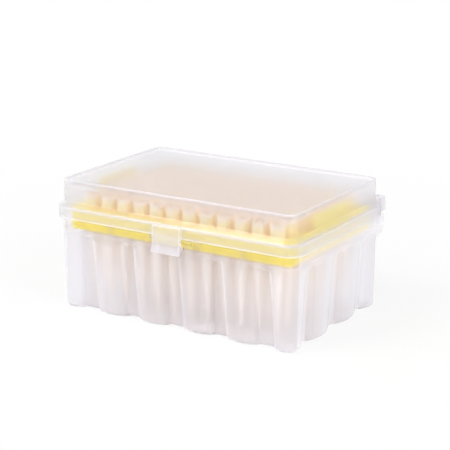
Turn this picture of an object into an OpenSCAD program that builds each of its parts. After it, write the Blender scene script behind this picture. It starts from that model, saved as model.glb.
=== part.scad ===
// Hinged box of 96 pipette tips: a fluted base, a lid with a front latch,
// a lift-out rack and twelve columns of eight tips.
// Origin: middle of the footprint, on the table. +X runs along the box, -Y is the latch side.

/* [Tips] */
// Columns of tips along the box
columns = 12; // [8:1:12]
// Tips in a column
rows = 8; // [6:1:10]
// Distance between neighbouring tips
pitch = 9; // [8.4:0.1:10]
// Length of a tip
tip_len = 50; // [44:0.5:56]
// Height of a tip's collar above the deck
collar_h = 6.8; // [5.5:0.1:8.5]
// Outer radius of the collar
collar_r = 3.6; // [3.4:0.05:4]
// Outer radius where the tip passes through the deck
neck_r = 3.05; // [2.8:0.05:3.2]
// Outer radius at the bend of the tip
bend_r = 2.55; // [2.2:0.05:2.75]
// Depth of the bend below the deck
bend_drop = 22; // [18:0.5:26]
// Outer radius at the tip's end
end_r = 0.45; // [0.4:0.05:0.6]
// Radius of the hole in the tip's end
orifice_r = 0.25; // [0.2:0.05:0.3]
// Wall of a tip
tip_wall = 0.45; // [0.35:0.05:0.55]
// Radial clearance of a tip in its hole
hole_gap = 0.2; // [0.1:0.05:0.3]

/* [Rack] */
// Distance from the outermost tips' middles to the rack's ends
rack_end = 9.5; // [8.5:0.1:11]
// Distance from the outermost tips' middles to the rack's long sides
rack_side = 5.4; // [5.2:0.1:7]
// Height of the rack from its lower edge to the top of the deck
rack_h = 10; // [8.5:0.1:12]
// Thickness of the deck
deck_t = 1.6; // [1.2:0.1:2]
// Thickness of the rack's skirt
rack_wall = 1.2; // [1:0.1:1.5]
// Corner radius of the rack
rack_r = 2; // [1.5:0.1:3]
// Thickness of the ribs under the deck
rib_t = 0.9; // [0.7:0.1:1.1]
// Depth of the ribs below the deck
rib_h = 4.5; // [3:0.5:6]
// Width of a lifting tab
tab_w = 30; // [22:1:38]
// Height of a lifting tab above the deck
tab_h = 8; // [6:0.5:9]
// Thickness of a lifting tab
tab_t = 1.6; // [1.2:0.1:2]
// Radius of a lifting tab's upper corners
tab_r = 3; // [2:0.5:4]

/* [Base] */
// Wall of the base
wall = 1.2; // [1:0.1:1.4]
// Thickness of the base's floor
floor_t = 1.4; // [1.1:0.1:2]
// Space between the rack's sides and the base's wall
rack_room = 2.9; // [2.4:0.1:3.4]
// Space below the ends of the tips
tip_room = 3.7; // [2.4:0.1:4.5]
// Height of the rim above the deck
rim_over = 0.3; // [0.1:0.1:1.2]
// Corner radius of the base at its rim
corner_r = 5.5; // [4.5:0.1:6.5]
// How far the walls draw in from rim to floor
draft = 0.65; // [0.3:0.05:0.9]
// Fillet round the bottom edge
foot_r = 2.2; // [1:0.1:2.4]

/* [Flutes] */
// Lobes between the corner lobes, along a long wall
lobes_long = 4; // [3:1:5]
// Lobes between the corner lobes, along an end wall
lobes_end = 2; // [1:1:3]
// Distance from the end of a wall to the middle of its last groove
corner_lobe = 15.5; // [14.5:0.1:17]
// Depth of a groove at the floor
groove_depth = 3.9; // [3:0.1:4.2]
// Half width of a wide groove at the floor
wide_half = 4.2; // [3.6:0.1:4.8]
// Half width of a narrow groove at the floor
narrow_half = 3.2; // [2.6:0.1:3.6]
// How far below the rack the grooves begin
groove_below = 1.2; // [0.8:0.1:2]
// Height of the rounded arch over a groove
arch_h = 3; // [2:0.1:4]

/* [Rack ribs] */
// Thickness of the upright ribs in the base that locate and carry the rack
rest_t = 1.6; // [1.2:0.1:2]
// How far the rack's skirt sits over a rib's ledge
rest_in = 1.4; // [1:0.1:1.6]
// Height of a rib below its ledge
rest_drop = 5; // [4:0.5:7]
// Height of a rib above its ledge
rest_rise = 5; // [3:0.5:7]
// Clearance between the rack and the ribs
rest_gap = 0.25; // [0.15:0.05:0.4]

/* [Lid] */
// Wall of the lid
lid_wall = 1.2; // [1:0.1:1.4]
// Space above the tips, inside the closed lid
headroom = 4.4; // [4.2:0.1:7]
// Height of the stacking rim above the lid's top
stack_rim = 1.5; // [1:0.1:2.5]
// Clearance between the base's rim and the lid's skirt
skirt_gap = 0.6; // [0.55:0.05:0.8]
// How far the skirt hangs below the rim
skirt_drop = 4.4; // [3.8:0.1:5]
// Height of the skirt's ridge above the rim
ridge_up = 1.1; // [1:0.1:1.4]
// How far the lid's upper wall is set in from the skirt
shoulder_in = 2.6; // [2.4:0.1:3.1]
// Height of the sloped shoulder
shoulder_h = 2.3; // [1.9:0.1:2.8]
// Radius of the stacking rim's outer edge
lid_edge_r = 0.6; // [0.4:0.05:0.8]
// Radius of the fillets under the lid's top and at the foot of its rim
lid_fillet = 0.8; // [0.5:0.1:1.1]

/* [Latch] */
// Width of the latch tab
latch_w = 14.7; // [10:0.1:20]
// How far the latch hangs below the skirt
latch_drop = 7; // [6.6:0.1:9]
// How far the waist of the latch stands out from the skirt
latch_out = 2.2; // [1.9:0.1:2.6]
// Thickness of the latch
latch_t = 1.2; // [1:0.1:1.4]
// How far the finger lip flares beyond the waist
lip_out = 1; // [0.5:0.1:1.5]
// Height of the nose behind the latch that grips the catch rib
nose_h = 1; // [0.8:0.1:1.2]
// Clearance between the latch and the catch rib
latch_gap = 0.15; // [0.1:0.05:0.25]
// Length of the catch rib on the base
catch_w = 23; // [18:0.5:30]
// How far the catch rib stands out
catch_out = 1; // [0.8:0.1:1.2]
// Thickness of the catch rib
catch_t = 1.6; // [1.2:0.1:1.8]
// Distance from the skirt's lower edge to the top of the catch rib
catch_drop = 1.6; // [1.2:0.1:2]

/* [Hinge] */
// Distance from the skirt's back face to the hinge line
hinge_off = 2.2; // [2:0.1:2.6]
// Distance from the skirt's lower edge down to the hinge line
hinge_drop = 2.6; // [2.4:0.1:3]
// Radius of the rod between two ears
rod_r = 1.5; // [1.2:0.05:1.6]
// Running clearance round the rod
hinge_fit = 0.08; // [0.05:0.01:0.1]
// Thickness of the hook round the rod, and of its hood
hook_t = 1.4; // [1.1:0.05:1.5]
// Radius of an ear round the hinge line
ear_r = 2.6; // [2.3:0.05:2.7]
// Thickness of an ear
ear_t = 2; // [1.6:0.1:2.2]
// Distance from the end of the base to an outer ear
ear_in = 1.4; // [1.2:0.1:4]
// Distance between the two ears of a pair
ear_span = 7; // [6:0.1:8]
// Height of an ear's foot below the hinge line
ear_foot = 8; // [6:0.1:9]
// Clearance between a hook's sides and the ears
side_gap = 0.4; // [0.3:0.05:0.6]
// How far a hood reaches past its outer ear
hood_over = 0.2; // [0:0.1:0.9]
// Height of a hood above the lid's shoulder
hood_up = 0.5; // [0.3:0.1:1.5]
// Radius of a hood's upper back edge
hood_r = 3; // [2:0.1:3.5]
// Thickness of the cheek that closes a hood's outer end
cheek_t = 1.2; // [1:0.1:1.5]

/* [Hidden] */
$fn = 48;
// Depth by which two forms of one moulding run into each other
fuse = 0.3;
// Height and depth of the small slopes that ease an edge
ease = 0.6;
// Flat kept beside a groove, and how far a cut starts outside its piece
spare = 1;
// Steps in a quarter turn of a lofted corner
corner_steps = 6;
// Stations across half a groove and half a lobe: 0 is the groove's middle,
// 1 its edge, and 2 the middle of the lobe beside it
stations = [0.75, 1, 1.06, 1.15, 1.35, 1.65];
// Share of a groove's depth that its rounded arch reaches
arch_share = 0.4;
// Share of a groove's width and depth at its top edge
top_share = 0.55;
// Share of a groove's depth that lies in the curve of the lobes
lobe_share = 0.6;
lobe_power = 1.8;
// Share of the remaining depth that a groove's floor rises by at its edge,
// and how far beyond the edge the rest runs out
edge_rise = 0.15;
edge_run = 0.15;

// Plan
rack_l = (columns - 1) * pitch + 2 * rack_end;
rack_w = (rows - 1) * pitch + 2 * rack_side;
base_l = rack_l + 2 * (rack_room + wall);
base_w = rack_w + 2 * (rack_room + wall);
flat_l = base_l / 2 - corner_r;
flat_w = base_w / 2 - corner_r;

// Heights
below_deck = tip_len - collar_h;
deck_z = floor_t + tip_room + below_deck;
ledge_z = deck_z - rack_h;
rim_z = deck_z + rim_over;
groove_z = ledge_z - groove_below;
lid_roof_z = deck_z + collar_h + headroom;
lid_top_z = lid_roof_z + lid_wall;
box_z = lid_top_z + stack_rim;
skirt_z = rim_z - skirt_drop;
ridge_z = rim_z + ridge_up;
shoulder_z = ridge_z + shoulder_h;

// Skirt and hinge line
skirt_out = skirt_gap + lid_wall;
upper_out = skirt_out - shoulder_in;
skirt_y = base_w / 2 + skirt_out;
hinge_y = skirt_y + hinge_off;
hinge_z = skirt_z - hinge_drop;
bore_r = rod_r + hinge_fit;
hook_r = bore_r + hook_t;
ear_x = base_l / 2 - ear_in;
ear_root = flat_w + sqrt(pow(corner_r - wall, 2) - pow(max(0, ear_x - ear_t - flat_l), 2));

// ---------- lofted shells ----------

function flip(list) = [for (i = [len(list) - 1 : -1 : 0]) list[i]];

// A closed skin over a stack of rings that have the same number of points;
// the first and the last ring are closed flat, to their middle
module loft(rings) {
    n = len(rings[0]);
    last = len(rings) - 1;
    ends = (last + 1) * n;
    sides = [for (i = [0 : last - 1], j = [0 : n - 1], half = [0, 1])
        let (a = i * n + j, b = i * n + (j + 1) % n)
        half == 0 ? [a, a + n, b + n] : [a, b + n, b]];
    caps = [for (j = [0 : n - 1], end = [0, 1])
        let (a = end * last * n + j, b = end * last * n + (j + 1) % n)
        end == 0 ? [ends, a, b] : [ends + 1, b, a]];
    polyhedron(concat([for (ring = rings, p = ring) p],
                      [[0, 0, rings[0][0].z], [0, 0, rings[last][0].z]]),
               concat(sides, caps), convexity = 6);
}

// Corner arc number q (0 is +X+Y) round the point [cx, cy] of its quarter, its ends left out
function corner(q, cx, cy, radius, z) =
    let (sx = q == 0 || q == 3 ? 1 : -1, sy = q < 2 ? 1 : -1)
    [for (k = [1 : corner_steps - 1])
        let (a = 90 * (q + k / corner_steps))
        [sx * cx + radius * cos(a), sy * cy + radius * sin(a), z]];

// ---------- base ----------

// Middles of the grooves in a wall of the given length
function groove_middles(length, lobes) =
    let (span = length - 2 * corner_lobe)
    [for (i = [0 : lobes]) span * (i / lobes - 0.5)];

// Depth of a groove, and its half width, at a height below the groove's own top
function depth_at(z, top) =
    z >= top ? 0
    : groove_depth * (arch_share * sqrt(min(1, (top - z) / arch_h))
                      + (1 - arch_share) * (top - z) / top);
function half_at(z, top, half) =
    half * (top_share + (1 - top_share) * max(0, top - z) / top);

// Share of the full depth at a station
function section(q) =
    q <= 1 ? 1 - (1 - lobe_share) * edge_rise * q * q
    : lobe_share * pow(2 - q, lobe_power)
      + (1 - lobe_share) * (1 - edge_rise) * max(0, 1 - (q - 1) / edge_run);

// Half a groove from its middle towards an end: pairs of place and depth
function half_groove(middle, end, half, depth) =
    let (reach = end - middle, way = sign(reach))
    [for (q = stations)
        [middle + way * (q <= 1 ? q * half : half + (q - 1) * (abs(reach) - half)),
         depth * section(q)]];

// A whole wall from -flat to +flat: pairs of place and depth, the lobes' middles between grooves
function fluted(length, flat, lobes, z, top, extra) =
    let (m = groove_middles(length, lobes), depth = depth_at(z, top))
    concat([[-flat, 0]],
        [for (i = [0 : lobes])
            let (before = i == 0 ? -flat : (m[i - 1] + m[i]) / 2,
                 after = i == lobes ? flat : (m[i] + m[i + 1]) / 2,
                 wide = (i - lobes / 2) % 2 == 0,
                 half = extra + half_at(z, top, wide ? wide_half : narrow_half))
            each concat(flip(half_groove(m[i], before, half, depth)),
                        [[m[i], depth]],
                        half_groove(m[i], after, half, depth),
                        [[after, 0]])]);

// Four walls, given as pairs of place and depth, joined by corner arcs of radius r
function walls_and_corners(fl, fw, hl, hw, r, z) =
    concat(
        [for (p = fl) [p[0], p[1] - hw, z]], corner(3, hl - r, hw - r, r, z),
        [for (p = fw) [hl - p[1], p[0], z]], corner(0, hl - r, hw - r, r, z),
        [for (p = fl) [-p[0], hw - p[1], z]], corner(1, hl - r, hw - r, r, z),
        [for (p = fw) [p[1] - hl, -p[0], z]], corner(2, hl - r, hw - r, r, z));

// One ring of the base, set out from the rim's outline by out, with the grooves' own top
function base_ring(z, out, top, extra = 0) =
    let (fl = fluted(base_l, flat_l, lobes_long, z, top, extra),
         fw = fluted(base_w, flat_w, lobes_end, z, top, extra),
         hl = base_l / 2 + out, hw = base_w / 2 + out, r = corner_r + out)
    walls_and_corners(fl, fw, hl, hw, r, z);

// A wall's places with no depth, squeezed beyond its last groove so that they end at the given place
function squeezed(length, flat, lobes, end) =
    let (keep = length / 2 - corner_lobe + wide_half + spare)
    [for (p = fluted(length, flat, lobes, 0, groove_z, 0))
        let (x = abs(p[0]))
        [x <= keep ? p[0] : sign(p[0]) * (keep + (x - keep) * (end - keep) / (flat - keep)), 0]];

// The flat ring inside the grooves that the floor's skin starts from
function floor_ring(z) =
    let (in = draft + max(foot_r, wall) + groove_depth + spare, r = fuse,
         hl = base_l / 2 - in, hw = base_w / 2 - in)
    walls_and_corners(squeezed(base_l, flat_l, lobes_long, hl - r),
                      squeezed(base_w, flat_w, lobes_end, hw - r), hl, hw, r, z);

function drawn(z) = -draft * (1 - z / rim_z);

// Heights of the rings between the floor and the top of the grooves
function arch_heights(top) = [top - arch_h, top - arch_h / 3, top - arch_h / 12, top];

module base_shell() {
    inner_top = groove_z + wall;
    widen = wall / 2;
    loft(concat(
        [floor_ring(0)],
        [for (a = [0, 30, 60, 90])
            base_ring(foot_r * (1 - cos(a)), drawn(0) - foot_r * (1 - sin(a)), groove_z)],
        [for (z = arch_heights(groove_z)) base_ring(z, drawn(z), groove_z)],
        [base_ring(rim_z, 0, groove_z), base_ring(rim_z, -wall, inner_top, widen)],
        [for (z = flip(arch_heights(inner_top))) base_ring(z, drawn(z) - wall, inner_top, widen)],
        [base_ring(floor_t, drawn(floor_t) - wall, inner_top, widen), floor_ring(floor_t)]));
}

// A profile in Y and Z, stretched along X and centred there
module along_x(length) rotate([90, 0, 90]) linear_extrude(length, center = true) children();

// Upright rib on a long wall: its ledge carries the rack and its upper part locates it
module rack_rest(half_width) {
    face = half_width + rest_gap;
    inside = half_width + rack_room;
    along_x(rest_t)
        polygon([[inside + fuse, ledge_z + rest_rise], [face + fuse, ledge_z + rest_rise],
                 [face, ledge_z + rest_rise - fuse], [face, ledge_z],
                 [half_width - rest_in, ledge_z], [half_width - rest_in, ledge_z - rack_wall],
                 [inside - draft, ledge_z - rest_drop], [inside + fuse, ledge_z - rest_drop]]);
}

// Ear with its gusset; the rod passes from ear to ear
module ear() along_x(ear_t) {
    translate([hinge_y, hinge_z]) circle(ear_r);
    polygon([[ear_root, hinge_z + ear_r - fuse], [ear_root, hinge_z - ear_foot],
             [base_w / 2 + 1.5 * ease, hinge_z - ear_foot], [hinge_y, hinge_z - 0.86 * ear_foot],
             [hinge_y + 0.58 * ear_r, hinge_z - 0.6 * ear_foot],
             [hinge_y + ear_r, hinge_z], [hinge_y, hinge_z + ear_r - fuse / 3]]);
}

module base() color([0.93, 0.93, 0.95, 0.45]) {
    base_shell();
    for (side = [0, 180]) rotate(side) {
        for (x = groove_middles(base_l, lobes_long))
            if (x < base_l / 2 - corner_lobe - spare)
                translate([x + (base_l - 2 * corner_lobe) / lobes_long / 2, 0, 0])
                    rack_rest(rack_w / 2);
        for (y = groove_middles(base_w, lobes_end))
            if (y < base_w / 2 - corner_lobe - spare)
                rotate(90) translate([y + (base_w - 2 * corner_lobe) / lobes_end / 2, 0, 0])
                    rack_rest(rack_l / 2);
    }
    translate([0, -base_w / 2, skirt_z - catch_drop - catch_t / 2]) along_x(catch_w)
        polygon([[fuse, catch_t / 2], [-catch_out * 0.6, catch_t / 2], [-catch_out, 0],
                 [-catch_out, -catch_t / 2], [fuse, -catch_t / 2]]);
    for (side = [0, 1]) mirror([side, 0, 0]) {
        for (x = [ear_x - ear_t / 2, ear_x - 1.5 * ear_t - ear_span])
            translate([x, 0, 0]) ear();
        translate([ear_x - ear_t - ear_span / 2, hinge_y, hinge_z]) rotate([0, 90, 0])
            cylinder(h = ear_span + 2 * fuse, r = rod_r, center = true);
    }
}

// ---------- lid ----------

// One ring of the lid: a rounded oblong set out from the rim's outline
function lid_ring(z, out) =
    let (hl = base_l / 2 + out, hw = base_w / 2 + out, r = corner_r + out)
    walls_and_corners([[-flat_l, 0], [flat_l, 0]], [[-flat_w, 0], [flat_w, 0]], hl, hw, r, z);

// The lid's outer form, with the rim that stands round its top
module lid_outside() {
    top_out = upper_out - draft / 3;
    loft(concat(
        [lid_ring(skirt_z, skirt_out),
         lid_ring(ridge_z - ease / 2, skirt_out),
         lid_ring(ridge_z + ease / 6, skirt_out - ease / 2),
         lid_ring(shoulder_z - ease / 3, upper_out + ease / 2),
         lid_ring(shoulder_z + ease / 2, upper_out)],
        [for (a = [90 : -30 : 0])
            lid_ring(box_z - lid_edge_r * (1 - cos(a)), top_out - lid_edge_r * (1 - sin(a)))],
        [lid_ring(box_z, top_out - lid_wall + ease / 3),
         lid_ring(box_z - ease / 3, top_out - lid_wall)],
        [for (a = [0 : 30 : 90])
            lid_ring(lid_top_z + lid_fillet * (1 - sin(a)),
                     top_out - lid_wall - lid_fillet * (1 - cos(a)))]));
}

// The room inside the lid, with the step that rests on the base's rim
module lid_inside() {
    top_in = upper_out - draft / 3 - lid_wall;
    loft(concat(
        [lid_ring(skirt_z - spare, skirt_gap),
         lid_ring(rim_z, skirt_gap),
         lid_ring(rim_z, -wall - ease / 3),
         lid_ring(shoulder_z - lid_wall, upper_out - lid_wall)],
        [for (a = [90 : -30 : 0])
            lid_ring(lid_roof_z - lid_fillet * (1 - cos(a)), top_in - lid_fillet * (1 - sin(a)))]));
}

// Latch tab: from the ridge over a waist to a nose under the catch rib and a finger lip
module latch() {
    foot = skirt_z - latch_drop;
    nose_z = skirt_z - catch_drop - catch_t - 2 * latch_gap;
    nose_in = catch_out + latch_gap - skirt_out;
    waist_in = latch_out - latch_t;
    translate([0, -skirt_y, 0]) mirror([0, 1, 0]) along_x(latch_w)
        polygon([[-fuse, ridge_z], [latch_out - 1.5 * ease, ridge_z - ease / 2],
                 [latch_out, ridge_z - 3 * ease], [latch_out - ease / 3, nose_z + ease],
                 [latch_out, nose_z - ease], [latch_out + lip_out, foot + 2 * ease],
                 [latch_out + lip_out, foot], [latch_out + lip_out - latch_t, foot],
                 [waist_in, nose_z - nose_h - ease], [nose_in, nose_z - nose_h],
                 [nose_in, nose_z], [waist_in, nose_z + ease],
                 [waist_in, skirt_z - fuse], [-fuse, skirt_z]]);
}

// Profile of a hood from the given front and lower edges, set in from its outside by inset
function hood_profile(front, low, inset) =
    let (back = hinge_y + hook_r, top = shoulder_z + hood_up)
    concat([[front, low], [front, top - inset]],
           [for (a = [90 : -30 : 0])
               [back - hood_r, top - hood_r] + (hood_r - inset) * [cos(a), sin(a)]],
           [[back - inset, low]]);

// Hood over an ear, closed by a cheek at its outer end, and the hook between two ears
module hinge_hook() {
    low = hinge_z + hook_r + fuse;
    inner_x = ear_x - ear_t - ear_span + side_gap;
    hood_w = ear_x + hood_over - inner_x;
    hook_w = ear_span - 2 * side_gap;
    translate([inner_x + hood_w / 2, 0, 0]) difference() {
        along_x(hood_w) polygon(hood_profile(flat_w, low, 0));
        translate([-cheek_t, 0, 0]) along_x(hood_w) polygon(hood_profile(skirt_y, low - spare, hook_t));
    }
    translate([inner_x + hook_w / 2, hinge_y, hinge_z]) along_x(hook_w) difference() {
        union() {
            circle(hook_r);
            translate([bore_r, 0]) square([hook_t, hook_r + 2 * fuse]);
        }
        circle(bore_r);
        polygon([[0, 0], [-2 * hook_r, -0.6 * hook_r], [-2 * hook_r, -2 * hook_r],
                 [-0.2 * hook_r, -2 * hook_r]]);
    }
}

module lid() color([0.93, 0.93, 0.95, 0.45]) difference() {
    union() {
        lid_outside();
        latch();
        for (side = [0, 1]) mirror([side, 0, 0]) hinge_hook();
    }
    lid_inside();
}

// ---------- rack ----------

module rounded(length, width, radius) {
    square([length - 2 * radius, width], center = true);
    square([length, width - 2 * radius], center = true);
    for (sx = [-1, 1], sy = [-1, 1])
        translate([sx * (length / 2 - radius), sy * (width / 2 - radius)]) circle(radius);
}

function column_x(c) = (c - (columns + 1) / 2) * pitch;
function row_y(r) = (r - (rows + 1) / 2) * pitch;

// Upright tab at the +X end, to lift the rack by
module lifting_tab() {
    translate([rack_l / 2 - tab_t, 0, deck_z]) rotate([90, 0, 90]) linear_extrude(tab_t) {
        translate([-tab_w / 2, -deck_t]) square([tab_w, deck_t + tab_h - tab_r]);
        translate([tab_r - tab_w / 2, 0]) square([tab_w - 2 * tab_r, tab_h]);
        for (side = [-1, 1]) translate([side * (tab_w / 2 - tab_r), tab_h - tab_r]) circle(tab_r);
    }
}

module rack() color([0.98, 0.83, 0.35]) {
    translate([0, 0, deck_z - deck_t]) linear_extrude(deck_t) difference() {
        rounded(rack_l, rack_w, rack_r);
        for (c = [1 : columns], r = [1 : rows])
            translate([column_x(c), row_y(r)]) circle(neck_r + hole_gap);
    }
    translate([0, 0, ledge_z]) linear_extrude(rack_h - deck_t) difference() {
        rounded(rack_l, rack_w, rack_r);
        square([rack_l - 2 * rack_wall, rack_w - 2 * rack_wall], center = true);
    }
    translate([0, 0, deck_z - deck_t - rib_h]) linear_extrude(rib_h) {
        for (c = [1 : columns - 1])
            translate([column_x(c + 0.5), 0]) square([rib_t, rack_w - rack_wall], center = true);
        for (r = [1 : rows - 1])
            translate([0, row_y(r + 0.5)]) square([rack_l - rack_wall, rib_t], center = true);
    }
    lifting_tab();
    mirror([1, 0, 0]) lifting_tab();
}

// ---------- tips ----------

module tip() rotate_extrude()
    polygon([[neck_r - tip_wall + 0.1, collar_h], [collar_r, collar_h], [collar_r, 0], [neck_r, 0],
             [bend_r, -bend_drop], [end_r, -below_deck], [orifice_r, -below_deck],
             [bend_r - tip_wall, -bend_drop], [neck_r - tip_wall, 0]]);

module tips_column(c) color([0.98, 0.80, 0.60])
    for (r = [1 : rows]) translate([column_x(c), row_y(r), deck_z]) tip();

base();
rack();
lid();
for (c = [1 : columns])
    tips_column(c);
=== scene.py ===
"""Scene of the hinged box of pipette tips: materials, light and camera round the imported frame."""
import math

import bpy
from mathutils import Matrix, Vector

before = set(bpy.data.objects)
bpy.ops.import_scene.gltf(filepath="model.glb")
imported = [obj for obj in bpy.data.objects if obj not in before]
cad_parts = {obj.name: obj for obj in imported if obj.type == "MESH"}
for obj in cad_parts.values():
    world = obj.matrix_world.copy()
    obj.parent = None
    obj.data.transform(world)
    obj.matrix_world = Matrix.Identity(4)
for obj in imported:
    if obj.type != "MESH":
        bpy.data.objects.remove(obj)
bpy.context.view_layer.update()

# Lengths are in metres, and places on the part are those at rest. The floor is at height 0, the latch
# is towards -Y and the hinge towards +Y.

# ---------- camera ----------
YAW, ELEVATION, ROLL = 32.42, 16.72, -0.12  # degrees
AIM = Vector((0.0, 0.0, 0.030))  # the middle of the box
DISTANCE = 0.6743  # from the camera to AIM
LENS, SENSOR = 114.95, 36.0  # millimetres
SHIFT = (0.01116, 0.0431)  # shares of the picture's width
CLIP = (0.01, 20.0)

# ---------- light, floor and world ----------
KEY = {"place": (-0.5, -0.7, 0.9), "size": 0.6, "power": 8.2}  # power in watts
SIDE = {"place": (0.9, -0.2, 0.5), "size": 0.5, "power": 3.7}
WORLD_LIGHT = 0.55  # strength of the even light all round
WHITE = (1.0, 1.0, 1.0, 1.0)
FLOOR_COLOR = (0.9, 0.9, 0.9, 1.0)
FLOOR_REACH = 3.0
SHADOW_SHARE = 0.82  # white share of the floor beside the box, which leaves its shadow in sight
SHADOW_NEAR, SHADOW_FAR = 0.08, 0.30  # from the middle; beyond the second the floor is plain white
BOUNCES = 64  # light passes through many layers of plastic

# ---------- smoothing of the CAD meshes ----------
WELD = 1e-5
SHARP = 38.0  # degrees
GAP = 3e-5  # pieces that rest on each other would trap the light between their faces

# ---------- all plastics ----------
RELIEF_NOISE = {"Scale": 900.0, "Detail": 4.0, "Roughness": 0.55}
RELIEF = {"Strength": 0.08, "Distance": 0.0002}
CLOUD_NOISE = {"Scale": 70.0, "Detail": 3.0, "Roughness": 0.6}
ROUGHNESS_RISE = 1.25  # the roughest spots, as a multiple of the smoothest
COAT, COAT_ROUGHNESS = 1.0, 0.12
SHEEN_SPREAD = 0.25
EDGE_RADIUS, EDGE_SAMPLES = 0.0016, 6
EDGE_EVEN, EDGE_FULL = 0.985, 0.90  # agreement of rounded and true normal on a face and on an edge
MIX_SHARE, MIX_FIRST, MIX_SECOND, MIX_RESULT = 0, 6, 7, 2  # sockets of a Mix node for colours

# ---------- where a plastic's look changes, from the first number to the second ----------
COLLAR = (0.0385, 0.0395)  # height: above it the rack stands behind the base's plain collar
RIM = (0.042, 0.044)  # height: above it are the base's rim and catch
ROOF = (0.0585, 0.0595)  # height: above it is the lid's top
EARS = (0.0428, 0.0430)  # Y: behind it are the base's hinge ears
HOOKS = (0.0429, 0.0431)  # Y: behind it are the lid's hinge hooks
LATCH = (-0.0429, -0.0431)  # Y: before it is the lid's latch


def make_camera():
    yaw, rise = math.radians(YAW), math.radians(ELEVATION)
    back = Vector((math.sin(yaw) * math.cos(rise), -math.cos(yaw) * math.cos(rise), math.sin(rise)))
    right = Vector((math.cos(yaw), math.sin(yaw), 0.0))
    up = back.cross(right)
    turn = Matrix((right, up, back)).transposed().to_4x4() @ Matrix.Rotation(math.radians(ROLL), 4, "Z")
    data = bpy.data.cameras.new("camera")
    data.lens, data.sensor_width = LENS, SENSOR
    data.shift_x, data.shift_y = SHIFT
    data.clip_start, data.clip_end = CLIP
    camera = bpy.data.objects.new("camera", data)
    camera.matrix_world = Matrix.Translation(AIM + back * DISTANCE) @ turn
    bpy.context.scene.collection.objects.link(camera)
    bpy.context.scene.camera = camera


# ---------- node helpers ----------
def new_material(name):
    material = bpy.data.materials.new(name)
    material.use_nodes = True
    material.node_tree.nodes.clear()
    return material, material.node_tree


def add(tree, kind, **values):
    """Add a node; each value goes to the input of that name, or else to the node's own setting."""
    node = tree.nodes.new(kind)
    for key, value in values.items():
        if key in node.inputs:
            node.inputs[key].default_value = value
        else:
            setattr(node, key, value)
    return node


def feed(tree, value, socket):
    """Give an input a number or colour, or link another node's output to it."""
    if isinstance(value, bpy.types.NodeSocket):
        tree.links.new(value, socket)
    else:
        socket.default_value = value


def ramp(tree, source, low, high, start=0.0, end=1.0):
    """Carry start..end of a value over to low..high."""
    node = add(tree, "ShaderNodeMapRange")
    ends = {"Value": source, "From Min": start, "From Max": end, "To Min": low, "To Max": high}
    for key, value in ends.items():
        feed(tree, value, node.inputs[key])
    return node.outputs["Result"]


def combine(tree, operation, first, second):
    node = add(tree, "ShaderNodeMath", operation=operation)
    feed(tree, first, node.inputs[0])
    feed(tree, second, node.inputs[1])
    return node.outputs[0]


def mix_colors(tree, share, first, second, blend="MIX"):
    node = add(tree, "ShaderNodeMix", data_type="RGBA", blend_type=blend)
    feed(tree, share, node.inputs[MIX_SHARE])
    feed(tree, first, node.inputs[MIX_FIRST])
    feed(tree, second, node.inputs[MIX_SECOND])
    return node.outputs[MIX_RESULT]


# ---------- parts of a plastic's look ----------
def cloudy(tree, where, color, depth):
    """The colour, darker by this depth in soft clouds."""
    noise = add(tree, "ShaderNodeTexNoise", **CLOUD_NOISE)
    feed(tree, where, noise.inputs["Vector"])
    dark = [value * (1.0 - depth) for value in color]
    return mix_colors(tree, noise.outputs["Fac"], (*dark, 1.0), (*color, 1.0))


def toned(tree, color, height, tones_and_painted_glow):
    """The colour times the tone of its height."""
    low, high = tones_and_painted_glow[0][0], tones_and_painted_glow[-1][0]
    scale = add(tree, "ShaderNodeValToRGB")
    stops = scale.color_ramp.elements
    stops.remove(stops[0])
    for k, (z, tone) in enumerate(tones_and_painted_glow):
        share = (z - low) / (high - low)
        stop = stops.new(share) if k else stops[0]
        stop.position = share
        stop.color = (*tone, 1.0)
    feed(tree, ramp(tree, height, 0.0, 1.0, low, high), scale.inputs[0])
    return mix_colors(tree, 1.0, color, scale.outputs[0], "MULTIPLY")


def edge_mask(tree):
    """1 along edges and tight bends, where a rounded normal departs from the true one, otherwise 0."""
    rounded = add(tree, "ShaderNodeBevel", samples=EDGE_SAMPLES, Radius=EDGE_RADIUS)
    true = add(tree, "ShaderNodeNewGeometry")
    agree = add(tree, "ShaderNodeVectorMath", operation="DOT_PRODUCT")
    feed(tree, rounded.outputs["Normal"], agree.inputs[0])
    feed(tree, true.outputs["Normal"], agree.inputs[1])
    return ramp(tree, agree.outputs["Value"], 0.0, 1.0, EDGE_EVEN, EDGE_FULL)


def milky_and_highlight_mask(tree, place, above, thick):
    """How milky the plastic is, which in the colour also lays a painted highlight on the edges: 1 on
    edges above these heights, and this share past each thick place.
    """
    mask = edge_mask(tree)
    if above:
        mask = combine(tree, "MULTIPLY", mask, ramp(tree, place["Z"], 0.0, 1.0, *above))
    for span, share in thick:
        mask = combine(tree, "MAXIMUM", mask, ramp(tree, place["Y"], 0.0, share, *span))
    return mask


def turn_milky(tree, mask, even, milky, socket):
    """Carry an input from its even value to its milky one by the mask, unless the two are the same."""
    if even != milky:
        feed(tree, ramp(tree, mask, even, milky), socket)


def relief(tree, where, shader, roughness):
    """Fine unevenness of a moulded surface, in its shape and in its gloss."""
    noise = add(tree, "ShaderNodeTexNoise", **RELIEF_NOISE)
    bump = add(tree, "ShaderNodeBump", **RELIEF)
    feed(tree, where, noise.inputs["Vector"])
    feed(tree, noise.outputs["Fac"], bump.inputs["Height"])
    feed(tree, bump.outputs["Normal"], shader.inputs["Normal"])
    rough = ramp(tree, noise.outputs["Fac"], roughness, roughness * ROUGHNESS_RISE)
    feed(tree, rough, shader.inputs["Roughness"])


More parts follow.
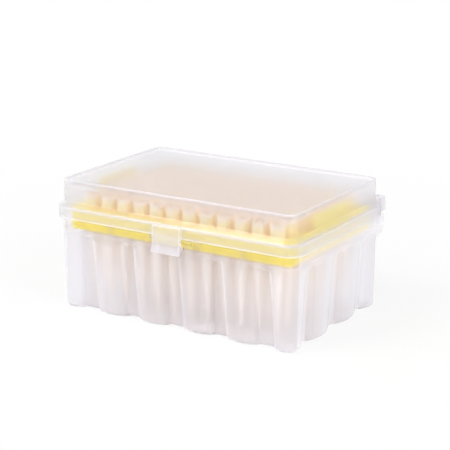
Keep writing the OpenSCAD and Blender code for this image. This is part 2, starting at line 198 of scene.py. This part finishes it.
def plastic(name, color, roughness, alpha=1.0, transmission=0.0, ior=1.25, sheen=0.0, cloud=0.03,
            tones_and_painted_glow=None, alpha_above=None, edge=None):
    """Moulded plastic: a cloudy base colour and gloss, a fine bump and a clear skin.

    tones        pairs of height and colour, which the base colour is multiplied by; on the tips they paint a glow
    alpha_above  two heights and an alpha: between the heights the alpha changes to this one
    edge         look of the edges, where the light gathers: color, mostly a painted highlight, and alpha
             and transmission, which make the plastic milkier there; and if needed above (two heights
             between which the edges come in), thick (pairs of a span of Y and a share: past it the
             part is this milky) and seen_edge_on (two shares between which a wall seen edge-on
             turns as milky as an edge, in alpha and transmission and not in colour)
    """
    material, tree = new_material(name)
    shader = add(tree, "ShaderNodeBsdfPrincipled")
    settings = {"IOR": ior, "Transmission Weight": transmission, "Alpha": alpha, "Coat Weight": COAT,
                "Coat Roughness": COAT_ROUGHNESS, "Sheen Weight": sheen, "Sheen Roughness": SHEEN_SPREAD}
    for key, value in settings.items():
        shader.inputs[key].default_value = value
    where = add(tree, "ShaderNodeTexCoord").outputs["Object"]
    axes = add(tree, "ShaderNodeSeparateXYZ")
    feed(tree, where, axes.inputs[0])
    place = axes.outputs
    look = cloudy(tree, where, color, cloud)
    if tones_and_painted_glow:
        look = toned(tree, look, place["Z"], tones_and_painted_glow)
    if edge:
        mask = milky_and_highlight_mask(tree, place, edge.get("above"), edge.get("thick", ()))
        # painted highlight: the edge colour laid along the edges, and as a paler milky tone on the thick
        # places
        look = mix_colors(tree, mask, look, (*edge["color"], 1.0))
        if "seen_edge_on" in edge:
            facing = add(tree, "ShaderNodeLayerWeight").outputs["Facing"]
            mask = combine(tree, "MAXIMUM", mask, ramp(tree, facing, 0.0, 1.0, *edge["seen_edge_on"]))
        if alpha_above:
            start, end, value = alpha_above
            alpha = ramp(tree, place["Z"], alpha, value, start, end)
        turn_milky(tree, mask, alpha, edge["alpha"], shader.inputs["Alpha"])
        turn_milky(tree, mask, transmission, edge["transmission"], shader.inputs["Transmission Weight"])
    feed(tree, look, shader.inputs["Base Color"])
    relief(tree, where, shader, roughness)
    out = add(tree, "ShaderNodeOutputMaterial")
    feed(tree, shader.outputs["BSDF"], out.inputs["Surface"])
    return material


# ---------- the four plastics ----------
def base_plastic():
    """Frosted lavender-white: milky lobes, a clearer collar that shows the rack, milky ears, and a milky
    rim whose edges carry a painted highlight.
    """
    # edges above RIM: milkier plastic, with a painted highlight in a whiter colour
    edge = {"color": (0.98, 0.98, 1.0), "alpha": 0.97, "transmission": 0.2, "above": RIM,
            "thick": ((EARS, 0.5),), "seen_edge_on": (0.35, 0.80)}
    return plastic("base_frosted", (0.965, 0.955, 1.0), 0.55, alpha=0.62, transmission=0.72, ior=1.10,
                   sheen=0.5, alpha_above=(*COLLAR, 0.28), edge=edge)


def lid_plastic():
    """Frosted like the base and smoother, with a milky latch and hooks."""
    edge = {"color": (0.89, 0.875, 0.95), "alpha": 0.95, "transmission": 0.25,
            "thick": ((LATCH, 0.35), (HOOKS, 0.35))}
    return plastic("lid_frosted", (0.89, 0.885, 0.935), 0.30, alpha=0.59, transmission=0.80, ior=1.08,
                   alpha_above=(*ROOF, 0.60), edge=edge)


def rack_plastic():
    """Opaque yellow, with a painted highlight in lighter yellow along its edges."""
    # painted highlight: a lighter yellow laid along the rack's edges
    edge = {"color": (1.0, 0.86, 0.16), "alpha": 1.0, "transmission": 0.0}
    return plastic("rack_yellow", (1.0, 0.81, 0.01), 0.35, cloud=0.05, edge=edge)


def tip_plastic():
    """Peach, deeper just above the rack's deck, where the deck's yellow light is painted on as an orange
    glow, paler towards the mouth and down the tip.
    """
    # painted light: the deep orange stops at 0.0489 and 0.0521 paint the deck's yellow light glowing up
    # the tips; the pale peach is their own colour
    tones_and_painted_glow = ((0.005, (1.0, 0.91, 0.81)), (0.040, (1.0, 0.91, 0.81)), (0.0489, (1.0, 0.76, 0.24)),
             (0.0521, (1.0, 0.86, 0.45)), (0.0551, (1.0, 0.865, 0.76)))
    return plastic("tip_peach", (1.0, 1.0, 1.0), 0.25, tones_and_painted_glow=tones_and_painted_glow)


def dress(node, material):
    obj = bpy.data.objects[node]
    for slot in obj.material_slots:
        slot.material = material
    if not obj.material_slots:
        obj.data.materials.append(material)


# ---------- smoothing ----------
def smooth_group():
    """Geometry nodes that weld the CAD faces, draw them in by GAP and shade edges under SHARP smooth."""
    tree = bpy.data.node_groups.new("smooth_by_angle", "GeometryNodeTree")
    for way in ("INPUT", "OUTPUT"):
        tree.interface.new_socket("Geometry", in_out=way, socket_type="NodeSocketGeometry")
    source = tree.nodes.new("NodeGroupInput")
    result = tree.nodes.new("NodeGroupOutput")
    weld = add(tree, "GeometryNodeMergeByDistance", Distance=WELD)
    feed(tree, source.outputs[0], weld.inputs["Geometry"])

    inward = add(tree, "ShaderNodeVectorMath", operation="SCALE")
    inward.inputs["Scale"].default_value = -GAP
    feed(tree, add(tree, "GeometryNodeInputNormal").outputs["Normal"], inward.inputs[0])
    shift = add(tree, "GeometryNodeSetPosition")
    feed(tree, weld.outputs[0], shift.inputs["Geometry"])
    feed(tree, inward.outputs[0], shift.inputs["Offset"])

    faces = add(tree, "GeometryNodeSetShadeSmooth", domain="FACE")
    feed(tree, shift.outputs[0], faces.inputs["Geometry"])
    sharp = add(tree, "FunctionNodeCompare", operation="GREATER_THAN")
    sharp.inputs[1].default_value = math.radians(SHARP)
    feed(tree, add(tree, "GeometryNodeInputMeshEdgeAngle").outputs["Unsigned Angle"], sharp.inputs[0])
    edges = add(tree, "GeometryNodeSetShadeSmooth", domain="EDGE")
    edges.inputs["Shade Smooth"].default_value = False
    feed(tree, faces.outputs[0], edges.inputs["Geometry"])
    feed(tree, sharp.outputs[0], edges.inputs["Selection"])
    feed(tree, edges.outputs[0], result.inputs[0])
    return tree


def soften(node, group):
    obj = bpy.data.objects[node]
    obj.modifiers.new("smooth_by_angle", "NODES").node_group = group
    obj.modifiers.new("weighted_normals", "WEIGHTED_NORMAL").keep_sharp = True


# ---------- light, floor and world ----------
def lamp(name, place, size, power):
    """A square lamp that shines on AIM."""
    data = bpy.data.lights.new(name, "AREA")
    data.shape = "SQUARE"
    data.size = size
    data.energy = power
    obj = bpy.data.objects.new(name, data)
    obj.location = place
    obj.rotation_euler = (AIM - Vector(place)).to_track_quat("-Z", "Y").to_euler()
    bpy.context.scene.collection.objects.link(obj)


def white_where_seen(tree, white_share=None):
    """The share of plain white: white_share for rays straight from the camera, all for those that come
    mirrored or through the plastic."""
    path = add(tree, "ShaderNodeLightPath")
    seen = path.outputs["Is Camera Ray"]
    if white_share is not None:
        seen = combine(tree, "MULTIPLY", seen, white_share)
    for kind in ("Is Glossy Ray", "Is Transmission Ray"):
        seen = combine(tree, "MAXIMUM", seen, path.outputs[kind])
    return seen


def mix_shaders(tree, share, first, second, target):
    """Mix two shaders by this share and link the result to the target input."""
    mix = add(tree, "ShaderNodeMixShader")
    feed(tree, share, mix.inputs[0])
    feed(tree, first.outputs[0], mix.inputs[1])
    feed(tree, second.outputs[0], mix.inputs[2])
    feed(tree, mix.outputs[0], target)


def make_world():
    """Plain light all round, and a white background."""
    world = bpy.data.worlds.new("world")
    world.use_nodes = True
    tree = world.node_tree
    tree.nodes.clear()
    out = add(tree, "ShaderNodeOutputWorld")
    light = add(tree, "ShaderNodeBackground", Color=WHITE, Strength=WORLD_LIGHT)
    white = add(tree, "ShaderNodeBackground", Color=WHITE, Strength=1.0)
    mix_shaders(tree, white_where_seen(tree), light, white, out.inputs["Surface"])
    bpy.context.scene.world = world


def make_floor():
    """A pale floor that turns plain white away from the box."""
    mesh = bpy.data.meshes.new("floor")
    r = FLOOR_REACH
    mesh.from_pydata([(-r, -r, 0), (r, -r, 0), (r, r, 0), (-r, r, 0)], [], [(0, 1, 2, 3)])
    floor = bpy.data.objects.new("floor", mesh)
    bpy.context.scene.collection.objects.link(floor)
    material, tree = new_material("floor_white")
    out = add(tree, "ShaderNodeOutputMaterial")
    lit = add(tree, "ShaderNodeBsdfDiffuse", Color=FLOOR_COLOR)
    white = add(tree, "ShaderNodeEmission", Color=WHITE, Strength=1.0)
    away = add(tree, "ShaderNodeVectorMath", operation="LENGTH")
    feed(tree, add(tree, "ShaderNodeTexCoord").outputs["Object"], away.inputs[0])
    share = ramp(tree, away.outputs["Value"], SHADOW_SHARE, 1.0, SHADOW_NEAR, SHADOW_FAR)
    mix_shaders(tree, white_where_seen(tree, share), lit, white, out.inputs["Surface"])
    mesh.materials.append(material)


def set_view():
    """Plain colours, and enough bounces for the layers of plastic."""
    scene = bpy.context.scene
    scene.view_settings.view_transform = "Standard"
    for kind in ("max", "transmission", "glossy", "diffuse", "transparent_max"):
        setattr(scene.cycles, kind + "_bounces", BOUNCES)


def main():
    set_view()
    make_camera()
    make_world()
    make_floor()
    lamp("key", **KEY)
    lamp("side", **SIDE)
    dress("base", base_plastic())
    dress("lid", lid_plastic())
    dress("rack", rack_plastic())
    tip = tip_plastic()
    rounded = smooth_group()
    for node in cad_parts:
        if node.startswith("tips_column"):
            dress(node, tip)
        soften(node, rounded)


main()
